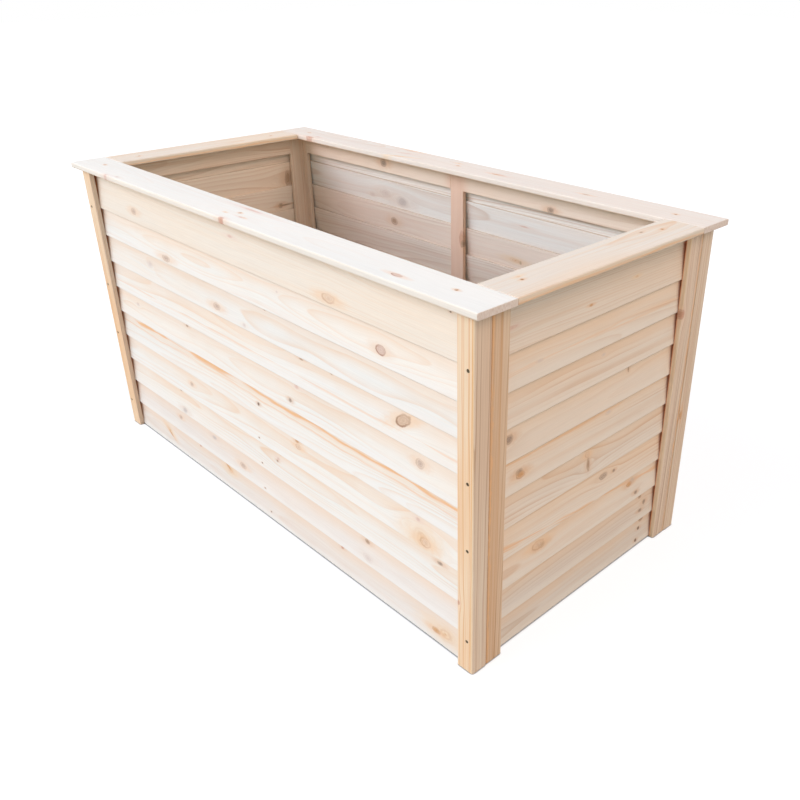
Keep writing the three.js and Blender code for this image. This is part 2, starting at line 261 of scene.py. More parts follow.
def make_softwood_group():
    """Growth rings of a log, cut by the surface. Along, Across and Depth are in metres."""
    group, n, given, out = new_group("softwood", [
        ("Along", "Float"), ("Across", "Float"), ("Depth", "Float"), ("Seed", "Float"),
        ("Pith Across", "Float"), ("Pith Depth", "Float"), ("Taper", "Float"),
        ("Sway", "Float"), ("Ring", "Float"), ("Strength", "Float"), ("Streaks", "Float"),
        ("Fineness", "Float"),
        ("Pale", "Color"), ("Late", "Color"), ("Warm", "Color"),
    ], [("Color", "Color"), ("Height", "Float")])
    along, across, depth, seed = (given[k] for k in ("Along", "Across", "Depth", "Seed"))
    seed_shift = n.combine(seed, n.math("MULTIPLY", seed, 1.7), n.math("MULTIPLY", seed, 0.6))

    def stretched(lengthwise, crosswise, detail=2.0, roughness=0.5):
        place = n.combine(n.math("MULTIPLY", along, lengthwise),
                          n.math("MULTIPLY", across, crosswise),
                          n.math("MULTIPLY", depth, crosswise))
        return n.noise(n.vector("ADD", place, seed_shift), 1.0, detail, roughness)

    def centred(value, size):
        return n.math("MULTIPLY", n.math("SUBTRACT", value, 0.5), size)

    # The pith wanders along the log, so its rings show as arches on a flat-sawn face.
    sway = centred(n.noise_along(n.math("ADD", along, seed), 1.6), given["Sway"])
    off_across = n.math("SUBTRACT", n.math("SUBTRACT", across, given["Pith Across"]), sway)
    off_depth = n.math("SUBTRACT", n.math("SUBTRACT", depth, given["Pith Depth"]), sway)
    radius = n.vector("LENGTH", n.combine(off_across, off_depth, 0.0))
    radius = n.math("ADD", radius, n.math("MULTIPLY", along, given["Taper"]))
    radius = n.math("ADD", radius, centred(stretched(3.0, 16.0, 2.0), 0.004))

    # Rings of uneven width, each turning slowly from early to late wood and sharply back.
    rings = n.math("DIVIDE", radius, given["Ring"])
    uneven = n.noise_along(n.math("ADD", n.math("MULTIPLY", radius, 60.0), seed), 1.0, 2.0)
    rings = n.math("ADD", rings, n.math("MULTIPLY", uneven, 2.2))
    phase = n.math("FRACT", rings)
    rise = n.math("POWER", phase, 2.6)
    fall = n.ranged(phase, 0.90, 1.0, 1.0, 0.0)
    late = n.math("MULTIPLY", rise, fall)

    # Some rings are bolder than others, and all of them come and go along the board.
    each = n.noise_along(n.math("ADD", n.math("MULTIPLY", n.math("FLOOR", rings), 1.37), seed), 1.0)
    late = n.math("MULTIPLY", late, n.ranged(each, 0.3, 0.7, 0.15, 1.3))
    patches = stretched(1.6, 12.0, 2.0)
    late = n.math("MULTIPLY", late, n.ranged(patches, 0.35, 0.65, 0.25, 1.2))
    late = n.math("MULTIPLY", late, given["Strength"], clamp=True)

    # Warm streaks and patches, and the fine fibres that break up the tone.
    streaks = n.ranged(stretched(0.8, given["Fineness"], 3.0, 0.6), 0.42, 0.70)
    broad = stretched(1.7, 9.0, 2.0)
    patch = n.math("MULTIPLY", n.ranged(broad, 0.40, 0.66), 0.7)
    streaks = n.math("MULTIPLY", n.math("MAXIMUM", streaks, patch), given["Streaks"])
    fibres = stretched(12.0, 700.0, 2.0, 0.7)
    colour = n.blend(streaks, given["Pale"], given["Warm"])
    colour = n.blend(late, colour, given["Late"])
    tone = n.math("MULTIPLY", n.ranged(fibres, 0.3, 0.7, 0.955, 1.03, False),
                  n.ranged(broad, 0.3, 0.7, 0.965, 1.03, False))
    colour = n.blend(1.0, colour, n.combine(tone, tone, tone), "MULTIPLY")
    height = n.math("ADD", n.math("MULTIPLY", late, 0.6), n.math("MULTIPLY", fibres, 0.5))
    n.link(colour, out.inputs["Color"])
    n.link(height, out.inputs["Height"])
    return group


# The grain bends this many times further ahead of a knot than beside it.
KNOT_EDDY = 2.2


def make_knot_warp_group():
    """How far the grain is pushed aside at a point near a knot, added to the shift so far."""
    group, n, given, out = new_group("knot_warp", [
        ("Along", "Float"), ("Across", "Float"), ("Knot Along", "Float"),
        ("Knot Across", "Float"), ("Reach", "Float"), ("Shift", "Float"),
    ], [("Shift", "Float")])
    aside = n.math("SUBTRACT", given["Across"], given["Knot Across"])
    ahead = n.math("SUBTRACT", given["Along"], given["Knot Along"])
    ahead = n.math("DIVIDE", ahead, KNOT_EDDY)
    reach = n.math("MULTIPLY", given["Reach"], given["Reach"])
    square = n.math("ADD", n.math("MULTIPLY", aside, aside), n.math("MULTIPLY", ahead, ahead))
    share = n.math("DIVIDE", reach, n.math("ADD", square, n.math("MULTIPLY", reach, 0.45)))
    push = n.math("MULTIPLY", aside, share)
    n.link(n.math("SUBTRACT", given["Shift"], push), out.inputs["Shift"])
    return group


def make_knot_paint_group():
    """The knot itself: a mottled core with fine rings, a bark ring and a warm halo."""
    group, n, given, out = new_group("knot_paint", [
        ("Along", "Float"), ("Across", "Float"), ("Knot Along", "Float"),
        ("Knot Across", "Float"), ("Radius", "Float"), ("Stretch", "Float"), ("Lean", "Float"),
        ("Fill", "Float"), ("Sharp", "Float"), ("Bark", "Float"), ("Halo", "Float"),
        ("Rings", "Float"), ("Color", "Color"), ("Height", "Float"),
        ("Core", "Color"), ("Edge", "Color"), ("Glow", "Color"),
    ], [("Color", "Color"), ("Height", "Float")])
    ahead = n.math("SUBTRACT", given["Along"], given["Knot Along"])
    aside = n.math("SUBTRACT", given["Across"], given["Knot Across"])
    aside = n.math("SUBTRACT", aside, n.math("MULTIPLY", ahead, given["Lean"]))
    ahead = n.math("DIVIDE", ahead, n.math("MULTIPLY", given["Radius"], given["Stretch"]))
    aside = n.math("DIVIDE", aside, given["Radius"])
    near = n.combine(ahead, aside, n.math("MULTIPLY", given["Knot Along"], 37.0))
    far = n.vector("LENGTH", n.combine(ahead, aside, 0.0))
    wobble = n.math("SUBTRACT", n.noise(near, 1.3, 2.0), 0.5)
    far = n.math("ADD", far, n.math("MULTIPLY", wobble, 0.55))
    inside = n.ranged(far, given["Sharp"], 1.12, given["Fill"], 0.0)
    rings = n.math("SINE", n.math("MULTIPLY", far, 15.0))
    rings = n.math("MULTIPLY", n.ranged(rings, -1.0, 1.0, 0.0, 1.0, False), given["Rings"])
    mottle = n.ranged(n.noise(near, 2.6, 2.0), 0.42, 0.66)
    mottle = n.math("MULTIPLY", mottle, given["Rings"])
    core = n.blend(n.math("MAXIMUM", rings, mottle), given["Core"], given["Edge"])
    shaded = n.ranged(n.math("ADD", ahead, aside), -1.2, 1.0, 1.0, 0.45)
    bark = n.math("MULTIPLY", n.ranged(far, 0.66, 0.96), n.ranged(far, 0.98, 1.22, 1.0, 0.0))
    bark = n.math("MULTIPLY", n.math("MULTIPLY", bark, given["Bark"]), shaded)
    spread = n.vector("LENGTH", n.combine(n.math("DIVIDE", ahead, 1.9), aside, 0.0))
    glow = n.ranged(n.math("ADD", spread, wobble), 0.5, 2.2, 1.0, 0.0)
    colour = n.blend(n.math("MULTIPLY", glow, given["Halo"]), given["Color"], given["Glow"])
    colour = n.blend(inside, colour, core)
    colour = n.blend(bark, colour, given["Edge"])
    n.link(colour, out.inputs["Color"])
    height = n.math("SUBTRACT", given["Height"], n.math("MULTIPLY", bark, 0.8))
    n.link(height, out.inputs["Height"])
    return group


# Colours of the wood, in linear light: the pale early wood, the late wood lines, warm streaks.
# Painted light: whiter wood for the front rim's top.
LIT_RIM_PINE = ((0.88, 0.885, 0.82), (0.86, 0.78, 0.67), (0.87, 0.84, 0.76))
# Painted shade: darker, warmer wood for the front rim's edges that look along Y.
SHADED_RIM_EDGE = ((0.86, 0.81, 0.70), (0.83, 0.64, 0.48), (0.85, 0.74, 0.60))
BACK_RIM_PINE = ((0.81, 0.76, 0.68), (0.74, 0.56, 0.42), (0.79, 0.67, 0.55))
FRONT_PINE = ((0.875, 0.86, 0.785), (0.83, 0.62, 0.43), (0.865, 0.75, 0.60))
LOW_FRONT_PINE = ((0.845, 0.785, 0.70), (0.76, 0.57, 0.42), (0.80, 0.67, 0.54))
TOP_FRONT_PINE = ((0.88, 0.80, 0.67), (0.82, 0.58, 0.37), (0.865, 0.71, 0.53))
TAN_PINE = ((0.84, 0.745, 0.63), (0.68, 0.46, 0.30), (0.78, 0.60, 0.44))
LOW_TAN_PINE = ((0.78, 0.72, 0.635), (0.60, 0.44, 0.31), (0.71, 0.57, 0.45))
LEFT_PINE = ((0.90, 0.78, 0.64), (0.66, 0.45, 0.30), (0.81, 0.62, 0.46))
GREY_PINE = ((0.88, 0.87, 0.81), (0.67, 0.53, 0.42), (0.80, 0.67, 0.56))
LOW_GREY_PINE = ((0.86, 0.77, 0.66), (0.60, 0.42, 0.30), (0.77, 0.58, 0.45))
SHADED_EDGE = ((0.66, 0.55, 0.44), (0.56, 0.42, 0.31), (0.60, 0.47, 0.36))
RIM_CREAM = ((0.80, 0.74, 0.64), (0.77, 0.535, 0.345), (0.79, 0.64, 0.475))
YELLOW_PINE = ((0.885, 0.72, 0.51), (0.74, 0.41, 0.18), (0.80, 0.51, 0.28))
BROWN_PINE = ((0.83, 0.70, 0.55), (0.56, 0.37, 0.24), (0.71, 0.51, 0.36))
DARK_PINE = ((0.79, 0.62, 0.45), (0.46, 0.24, 0.12), (0.67, 0.42, 0.24))
PALE_BATTEN = ((0.84, 0.70, 0.56), (0.54, 0.36, 0.24), (0.74, 0.55, 0.40))
# Painted shade: redder wood for the inner frames' side faces, which lie in shade.
SIDE_SHADE_PINE = ((0.95, 0.67, 0.47), (0.78, 0.46, 0.28), (0.88, 0.58, 0.38))
# Painted light: lighter wood for the end battens' faces that look along Y.
LIT_SIDE_PINE = ((0.95, 0.77, 0.57), (0.80, 0.50, 0.28), (0.90, 0.68, 0.45))
INNER_PINE = ((0.86, 0.74, 0.61), (0.60, 0.38, 0.24), (0.77, 0.57, 0.41))
BATTEN_PINE = ((0.88, 0.745, 0.60), (0.68, 0.43, 0.28), (0.80, 0.59, 0.43))
END_GRAIN = ((0.82, 0.73, 0.65), (0.70, 0.57, 0.48))
END_GRAIN_SCALE = (900.0, 900.0, 140.0)

# The surface of planed wood: how rough and shiny it is, and how far the grain stands out.
ROUGHNESS = 0.62
SHEEN = 0.25
BUMP = 0.3
BUMP_HEIGHT = 0.0006

# The grain is pushed aside as far as this many radii from the middle of a knot.
KNOT_REACH = 1.4

# Tints laid over the wood in strips. The lap, gap, seam and under-rim tints are painted shade, and
# the pale corner strip and the lower-edge tints painted light; resin is the wood's own colour.
RESIN = (0.84, 0.49, 0.24)
# Painted warm shade: below each lap on the walls, and along the lower edge of the long rims.
WARM_SHADE_TINT = (0.86, 0.59, 0.36)
# A painted shadow line right under each lap.
LAP_SHADOW_LINE = (0.74, 0.37, 0.15)
GAP_SHADE = (0.85, 0.34, 0.15)
SEAM_SHADE = (0.42, 0.22, 0.11)
CORNER_HIGHLIGHT = (0.92, 0.76, 0.50)
CORNER_LINE = (0.78, 0.45, 0.18)
# Painted warm shade on the top course of each wall, under the rim.
UNDER_RIM_SHADE = (0.92, 0.77, 0.57)
RAIL_PALE = (0.93, 0.83, 0.70)
MIDDLE_WARM = (0.79, 0.54, 0.40)
# Painted light: a paler strip along each board's own lower edge, on the front and right walls.
LIT_LOWER_EDGE = {"front": (0.88, 0.855, 0.785), "right": (0.85, 0.78, 0.68)}

# What a knot looks like: how much it fills its outline, how sharp that is, its bark ring, its
# halo and its rings, each from 0 to 1, and then the colours of its core, its edge and its halo.
KNOT_LOOKS = {
    "soft": (0.9, 0.3, 0.40, 0.55, 0.7, (0.72, 0.57, 0.45), (0.44, 0.29, 0.20), (0.84, 0.60, 0.40)),
    "faint": (0.7, 0.2, 0.15, 0.20, 0.4, (0.74, 0.63, 0.55), (0.54, 0.43, 0.36), (0.84, 0.68, 0.53)),
    "arc": (0.5, 0.2, 0.55, 0.60, 0.7, (0.76, 0.62, 0.50), (0.58, 0.35, 0.21), (0.86, 0.59, 0.36)),
    "ringed": (1.0, 0.7, 1.0, 0.60, 0.25, (0.72, 0.53, 0.37), (0.40, 0.23, 0.14), (0.86, 0.58, 0.34)),
    "eye": (0.8, 0.6, 0.50, 0.35, 0.8, (0.62, 0.50, 0.40), (0.34, 0.23, 0.16), (0.74, 0.52, 0.34)),
    "pink": (1.0, 0.7, 1.0, 0.50, 0.25, (0.74, 0.57, 0.46), (0.46, 0.26, 0.18), (0.84, 0.60, 0.41)),
    "rose": (0.8, 0.3, 0.10, 0.40, 0.4, (0.76, 0.55, 0.44), (0.58, 0.36, 0.27), (0.82, 0.65, 0.54)),
    "red": (0.9, 0.5, 0.45, 0.35, 0.3, (0.66, 0.37, 0.25), (0.46, 0.21, 0.13), (0.80, 0.52, 0.36)),
    "grey": (0.9, 0.4, 0.40, 0.55, 0.6, (0.44, 0.34, 0.27), (0.23, 0.15, 0.10), (0.70, 0.45, 0.27)),
    "blue": (0.8, 0.3, 0.10, 0.30, 0.3, (0.60, 0.54, 0.49), (0.42, 0.34, 0.29), (0.72, 0.56, 0.44)),
    "dark": (1.0, 0.5, 0.60, 0.45, 0.3, (0.24, 0.16, 0.11), (0.11, 0.06, 0.04), (0.70, 0.46, 0.29)),
    "brown": (0.9, 0.4, 0.45, 0.45, 0.4, (0.50, 0.34, 0.23), (0.30, 0.17, 0.10), (0.74, 0.50, 0.32)),
    "amber": (0.9, 0.4, 0.50, 0.50, 0.5, (0.74, 0.43, 0.21), (0.42, 0.19, 0.08), (0.80, 0.50, 0.27)),
    "pitch": (0.9, 0.0, 0.10, 0.60, 0.8, (0.84, 0.64, 0.43), (0.66, 0.38, 0.18), (0.85, 0.64, 0.42)),
}

SOFTWOOD = make_softwood_group()
KNOT_WARP = make_knot_warp_group()
KNOT_PAINT = make_knot_paint_group()


def opaque(colour):
    return (*colour, 1)


# A strip of tint at a place on an axis, reaching so far to each side, all in mm. It may bend
# by some mm, so many times a metre, swell and shrink, slope, or break up into lines.
Band = namedtuple("Band", "axis at reach tint share ragged waves swell slope lines",
                  defaults=(0, 9, False, 0, 0))


def add_band(n, place, along, colour, band, share_here):
    """The colour with the band's tint laid over it, and share_here to hold it to some faces."""
    off = n.math("SUBTRACT", place[band.axis], band.at * MM)
    if band.slope:
        off = n.math("SUBTRACT", off, n.math("MULTIPLY", along, band.slope))
    if band.ragged:
        bend = n.noise_along(n.math("ADD", along, band.at), band.waves, 3.0)
        bend = n.math("MULTIPLY", n.math("SUBTRACT", bend, 0.5), band.ragged * MM)
        off = n.math("ADD", off, bend)
    away = n.math("ABSOLUTE", off)
    if band.swell:
        width = n.noise_along(n.math("ADD", along, band.at * 0.7), 4.0, 2.0)
        away = n.math("DIVIDE", away, n.ranged(width, 0.35, 0.62, 0.15, 1.4))
    mask = n.ranged(away, 0.2 * band.reach * MM, band.reach * MM, band.share, 0.0)
    mask = n.math("MULTIPLY", mask, share_here)
    if band.lines:
        strip = n.combine(n.math("MULTIPLY", along, 5.0), n.math("MULTIPLY", off, band.lines),
                          band.at)
        mask = n.math("MULTIPLY", mask, n.ranged(n.noise(strip, 1.0, 2.0), 0.34, 0.54))
    return n.blend(mask, colour, opaque(band.tint))


def bend_round_knots(n, along, across, shift, knots):
    """How far across its own way the grain is shifted, once each knot has pushed it aside."""
    for knot_along, knot_across, radius, *_ in knots:
        warp = n.add("ShaderNodeGroup", {"node_tree": KNOT_WARP})
        n.put(warp, {"Along": along, "Across": across, "Shift": shift,
                     "Knot Along": knot_along * MM, "Knot Across": knot_across * MM,
                     "Reach": radius * MM * KNOT_REACH})
        shift = warp.outputs["Shift"]
    return shift


def paint_knots(n, along, across, colour, height, knots):
    for knot_along, knot_across, radius, stretch, look, *lean in knots:
        fill, sharp, bark, halo, rings, core, edge, glow = KNOT_LOOKS[look]
        paint = n.add("ShaderNodeGroup", {"node_tree": KNOT_PAINT})
        n.put(paint, {"Along": along, "Across": across, "Knot Along": knot_along * MM,
                      "Knot Across": knot_across * MM, "Radius": radius * MM,
                      "Stretch": stretch, "Lean": lean[0] if lean else 0.0, "Fill": fill,
                      "Sharp": sharp, "Bark": bark, "Halo": halo, "Rings": rings,
                      "Color": colour, "Height": height,
                      "Core": opaque(core), "Edge": opaque(edge), "Glow": opaque(glow)})
        colour = paint.outputs["Color"]
        height = paint.outputs["Height"]
    return colour, height


def paint_end_grain(n, spots, facing, colour):
    """The colour, with the open pores of a sawn end where the surface faces along the grain."""
    hatched = n.vector("MULTIPLY", spots.outputs["Object"], END_GRAIN_SCALE)
    pores = n.ranged(n.noise(hatched, 1.0, 2.0), 0.35, 0.65)
    cut = n.blend(pores, opaque(END_GRAIN[0]), opaque(END_GRAIN[1]))
    return n.blend(n.ranged(facing, 0.55, 0.85), colour, cut)


def softwood(name, axes, seed, pith, wood, ring=3.2, taper=0.006, sway=0.014, strength=0.7,
             streaks=0.5, fineness=38.0, slope=0.0, knots=(), bands=(), outward=None,
             side_wood_and_light=None, side_axis="X", end_grain=False, crossing=0.0):
    """A wood material. axes names the grain's way, the way across the face and the depth.
    pith, ring and crossing are in mm. outward is the side, such as -Y, that alone shows the
    bands. side_wood_and_light colours the faces that look along side_axis. crossing is the half width of
    a batten in the middle, whose grain runs across the rest."""
    material = bpy.data.materials.new(name)
    material.use_nodes = True
    n = Nodes(material.node_tree)
    spots = n.add("ShaderNodeTexCoord")
    facing = dict(zip("XYZ", n.split(spots.outputs["Normal"])))
    place = dict(zip("XYZ", n.split(spots.outputs["Object"])))
    along, across, depth = (place[axis] for axis in axes)
    if crossing:
        inside = n.math("LESS_THAN", n.math("ABSOLUTE", along), crossing * MM)
        swap = n.math("MULTIPLY", n.math("SUBTRACT", across, along), inside)
        along = n.math("ADD", along, swap)
        across = n.math("SUBTRACT", across, swap)
    shift = n.math("MULTIPLY", along, -slope) if slope else 0.0
    shift = bend_round_knots(n, along, across, shift, knots)
    colours = [opaque(colour) for colour in wood]
    # The side colour is the faces' own colour on the mouldings' returns, painted light on the end
    # battens, and painted shade on the boards, the rims and the inner frames.
    if side_wood_and_light:
        sideways = n.ranged(n.math("ABSOLUTE", facing[side_axis]), 0.25, 0.8)
        colours = [n.blend(sideways, colour, opaque(side))
                   for colour, side in zip(colours, side_wood_and_light)]
    grain = n.add("ShaderNodeGroup", {"node_tree": SOFTWOOD})
    n.put(grain, {"Along": along, "Across": n.math("ADD", across, shift), "Depth": depth,
                  "Seed": seed, "Pith Across": pith[0] * MM, "Pith Depth": pith[1] * MM,
                  "Taper": taper, "Sway": sway, "Ring": ring * MM, "Strength": strength,
                  "Streaks": streaks, "Fineness": fineness, "Pale": colours[0],
                  "Late": colours[1], "Warm": colours[2]})
    colour = grain.outputs["Color"]
    outer = 1.0
    if outward:
        outer = n.math("MULTIPLY", facing[outward[1]], float(outward[0] + "1"))
        outer = n.ranged(outer, 0.0, 0.4)
    for band in bands:
        colour = add_band(n, place, along, colour, band, outer)
    colour, height = paint_knots(n, along, across, colour, grain.outputs["Height"], knots)
    if end_grain:
        colour = paint_end_grain(n, spots, n.math("ABSOLUTE", facing[axes[0]]), colour)
    raised = n.add("ShaderNodeBump", Strength=BUMP, Distance=BUMP_HEIGHT, Height=height)
    surface = n.add("ShaderNodeBsdfPrincipled", Base_Color=colour, Roughness=ROUGHNESS,
                    Normal=raised.outputs[0])
    surface.inputs["Specular IOR Level"].default_value = SHEEN
    output = n.add("ShaderNodeOutputMaterial")
    n.link(surface.outputs[0], output.inputs[0])
    return material


SMOOTH_ANGLE = math.radians(40)
WELD_DISTANCE = 0.00001


def dress(node, material):
    """Give a CAD piece its material, and shade its rounded edges as curves."""
    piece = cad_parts[node]
    piece.data.materials.clear()
    piece.data.materials.append(material)
    piece.data.shade_smooth()
    weld = piece.modifiers.new("weld", "WELD")
    weld.merge_threshold = WELD_DISTANCE
    split = piece.modifiers.new("split", "EDGE_SPLIT")
    split.split_angle = SMOOTH_ANGLE
    piece.modifiers.new("normals", "WEIGHTED_NORMAL")


# --- where the knots are --------------------------------------------------------------------
# Each is (place along the grain, place across it, radius across, stretch along, look and, for
# a knot cut at a slant, its lean), the places and radii in mm.

WALL_KNOTS = {
    "front": [
        (-501, 711, 8, 1.7, "soft"), (-463, 578, 10, 1.7, "faint"), (-356, 619, 8, 2.4, "soft"),
        (-128, 553, 8, 2.0, "soft"), (331, 698, 9, 2.2, "arc"), (486, 636, 9.5, 1.4, "pink"),
        (542, 505, 12.5, 1.6, "ringed", 0.36), (588, 428, 10, 1.2, "soft"),
        (178, 446, 5, 1.8, "rose"), (152, 404, 5, 1.2, "grey"), (7, 339, 4.5, 1.0, "dark"),
        (-335, 270, 6, 1.4, "soft"), (161, 283, 6.5, 1.6, "arc"), (65, 208, 4.5, 1.5, "rose"),
        (75, 225, 2.5, 1.5, "brown"), (-112, 110, 7.5, 1.9, "soft"), (403, 140, 5.5, 1.5, "brown"),
        (406, 97, 10, 1.7, "faint"), (304, 69, 4, 1.3, "red"), (-442, 126, 6, 1.5, "soft"),
        (590, 250, 24, 1.1, "pitch"), (600, 247, 10, 1.5, "arc"), (640, 214, 4, 2.0, "grey"),
        (655, 36, 18, 1.6, "pitch"), (628, 30, 6, 2.0, "amber"), (672, 766, 2.5, 1.0, "dark"),
        (-30, 745, 4, 3.0, "rose"), (140, 660, 3, 1.5, "faint"), (-590, 430, 5, 2.0, "faint"),
        (-311, 447, 3, 2.2, "brown"), (-414, 223, 3, 1.6, "brown"), (-399, 166, 9, 1.5, "blue"),
        (-531, 47, 8, 2.2, "pitch", -0.4), (-524, 38, 3, 4.0, "amber", -0.5),
        (-255, 135, 6, 2.0, "blue"), (-349, 69, 3, 1.4, "red"), (-191, 60, 12, 1.3, "pitch"),
        (-200, 66, 4, 2.6, "amber", -0.4), (-7, 240, 2, 1.2, "dark"), (-8, 166, 2, 1.2, "dark"),
        (-10, 89, 2, 1.2, "grey"), (5, 22, 2, 1.2, "dark"), (61, 201, 3, 1.5, "brown"),
        (156, 296, 4, 1.8, "amber"), (169, 227, 3, 1.6, "amber"), (576, 290, 5, 1.4, "rose"),
        (315, 526, 2.5, 1.2, "brown"), (207, 523, 2, 4.0, "brown"), (79, 602, 2, 1.2, "grey"),
        (-8, 540, 5, 1.6, "faint"),
    ],
    "right": [
        (-257, 504, 9.5, 1.1, "grey"), (-225, 419, 6.5, 1.6, "grey"),
        (-222, 411, 7, 1.8, "amber"), (-144, 201, 6.5, 1.7, "grey"), (-155, 206, 10, 1.8, "arc"),
        (-5, 362, 6, 1.2, "arc"), (-2, 338, 15, 0.35, "brown"), (61, 279, 7.5, 1.9, "eye"),
        (100, 276, 4, 1.2, "grey"), (182, 210, 9, 1.3, "blue"), (170, 206, 6, 1.6, "amber"),
        (198, 172, 5, 1.2, "grey"), (226, 144, 5, 1.3, "brown"), (244, 122, 6.5, 1.0, "grey"),
        (228, 105, 4.5, 1.6, "grey"), (243, 69, 5, 2.0, "brown"), (233, 48, 4.5, 1.0, "dark"),
        (222, 18, 4.5, 1.0, "dark"), (119, 520, 6, 0.5, "brown"), (113, 729, 3, 2.2, "pitch"),
        (-36, 709, 2.5, 2.2, "amber"), (-258, 728, 5, 4.0, "rose"), (23, 586, 4, 2.0, "faint"),
        (-180, 640, 4, 3.0, "faint"), (60, 440, 5, 2.5, "faint"),
    ],
    "back": [
        (-245, 656, 16, 1.7, "blue"), (-284, 592, 11, 1.3, "brown"), (-288, 532, 9, 1.3, "grey"),
        (-320, 670, 13, 1.8, "faint"), (-305, 552, 6, 1.4, "blue"),
        (222, 581, 4.5, 0.9, "dark"), (205, 583, 7, 3.0, "pitch"), (232, 680, 2.5, 7.0, "rose"),
        (-383, 655, 6, 2.0, "faint"), (420, 690, 5, 2.0, "soft"),
    ],
    "left": [
        (270, 660, 24, 0.45, "brown"), (222, 609, 8, 1.0, "grey"), (234, 576, 8, 1.1, "grey"),
        (250, 614, 2.5, 9.0, "grey"), (254, 575, 2.5, 9.0, "grey"), (150, 700, 5, 1.6, "soft"),
        (30, 330, 8, 1.6, "grey"), (-120, 470, 9, 1.5, "soft"), (-210, 215, 7, 1.4, "soft"),
    ],
}
PIECE_KNOTS = {
    "back_inner_frame": [
        (-304, 762, 10, 1.3, "grey"), (329, 744, 8, 1.3, "grey"), (604, 20, 9, 2.4, "red"),
        (592, 22, 5, 2.0, "brown"),
    ],
    "rim_front": [
        (545, -355, 5, 2.6, "pink"), (545, -352, 2, 4.0, "rose"), (-560, -386, 8, 1.3, "rose"),
        (5, -386, 9, 1.1, "red"), (-29, -352, 3, 1.2, "pitch"), (40, -348, 2.5, 1.6, "pitch"),
        (0, -303, 5, 9.0, "rose"), (-515, -372, 5, 2.0, "faint"), (30, -350, 3, 3.0, "rose"),
    ],
    "rim_back": [
        (151, 333, 6, 3.5, "rose"), (140, 330, 3, 4.0, "amber"), (-233, 372, 5, 5.0, "rose"),
        (-19, 354, 3, 2.0, "pitch"), (85, 347, 3, 2.0, "faint"), (430, 330, 4, 2.5, "soft"),
        (-612, 291, 6, 2.6, "red"), (-595, 310, 4, 4.0, "rose"), (-228, 384, 8, 3.0, "pitch"),
        (-205, 300, 5, 5.0, "pitch", 0.3), (-222, 340, 4, 6.0, "rose", 0.3),
    ],
    "rim_right": [(166, 697, 3, 1.5, "brown"), (-210, 700, 4, 1.6, "pitch")],
    "corner_moulding_front_right": [(168, 709, 5, 1.2, "red")],
    "corner_moulding_back_right": [(335, 333, 5, 2.2, "amber")],
    "end_batten_back_right": [(603, 280, 9, 1.2, "red")],
}


# --- where the screws are, in mm ------------------------------------------------------------

SCREW_HEIGHTS = (79.8, 305.7, 456.3, 682.2)
MOULDING_SCREW_X = 733.5
MOULDING_FACE_Y = 367
LONG_RIM_SCREWS = (-672, 0, 672)
LONG_RIM_SCREW_Y = 332.4
SHORT_RIM_SCREW_X = 714.4
SHORT_RIM_SCREWS = (-215.6, 215.6)
# Radii of the heads and of the shank, and the head's depth, in mm.
MOULDING_HEAD = 3.9
RIM_HEAD = 2.9
SHANK = 1.6
HEAD_SINK = 0.8
HEAD_CONE = 2.6
HEAD_SIDES = 24
# Each arm of the cross recess: its reach and half its width, as shares of the head's radius,
# at the top and at the floor, and then its depth in mm.
CROSS_TOP = (0.62, 0.14)
CROSS_FLOOR = (0.30, 0.08)
CROSS_DEPTH = 1.5
# The dull and the bright tone of the metal. The darker pair, on the moulding screws, is partly
# painted shade from the sunk holes they sit in.
RECESS_SHADED_METAL = ((0.10, 0.075, 0.04), (0.20, 0.155, 0.09))
WARM_METAL = ((0.42, 0.22, 0.09), (0.62, 0.38, 0.18))


# --- the pieces -----------------------------------------------------------------------------

chance = random.Random(7)
RIM_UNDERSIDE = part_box("rim_front")[0].z / MM
COURSES = sum(name.startswith("front_board_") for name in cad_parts)
OUTWARD = {"front": "-Y", "back": "+Y", "left": "-X", "right": "+X"}
GRAIN_BOLDNESS = {"front": 1.0, "back": 1.25, "left": 1.25, "right": 1.2}
# The front wall's wood is paler and less warm than the right wall's: partly real, partly painted
# light for the brighter, cooler light on the front.
WALL_WOODS = {"front": FRONT_PINE, "back": GREY_PINE, "left": LEFT_PINE, "right": TAN_PINE}
# The darker, duller colour low on a wall, and the highest course it is used on. On the inside of the
# back wall it is partly painted shade.
LOW_WOODS = {"front": (2, LOW_FRONT_PINE), "back": (8, LOW_GREY_PINE), "right": (2, LOW_TAN_PINE)}


def varied(wood, spread=0.02):
    """The same wood from another tree: a little lighter or darker, redder or yellower."""
    lift = 1 + chance.uniform(-spread, spread)
    red = chance.uniform(-spread, spread) * 0.5
    return [(colour[0] * lift, colour[1] * (lift - red * 0.4), colour[2] * (lift - red))
            for colour in wood]


# A stain round each rim screw: its radius and stretch, and which look it has.
SCREW_STAIN = (3.8, 1.0, "amber")
# The moulding whose face on the long wall doesn't show, so its grain suits its return.
LAID_FOR_RETURN = ("corner_moulding_back_right",)
# Where a moulding's return meets the end batten, measured from the middle of the bed.
SEAM_Y = 325
MIDDLE_BATTEN_HALF = 24.6
# The pith of the inner rails and middle battens: its height, and how far it lies behind them.
INNER_PITH_HEIGHT = 770
INNER_PITH_DEPTH = 60

# How far in from a board's end the shade beside the upright is centred, and its reach.
SHADED_END = {"front": 11.6, "back": 11.6, "left": 26, "right": 26}
SHADED_REACH = 26
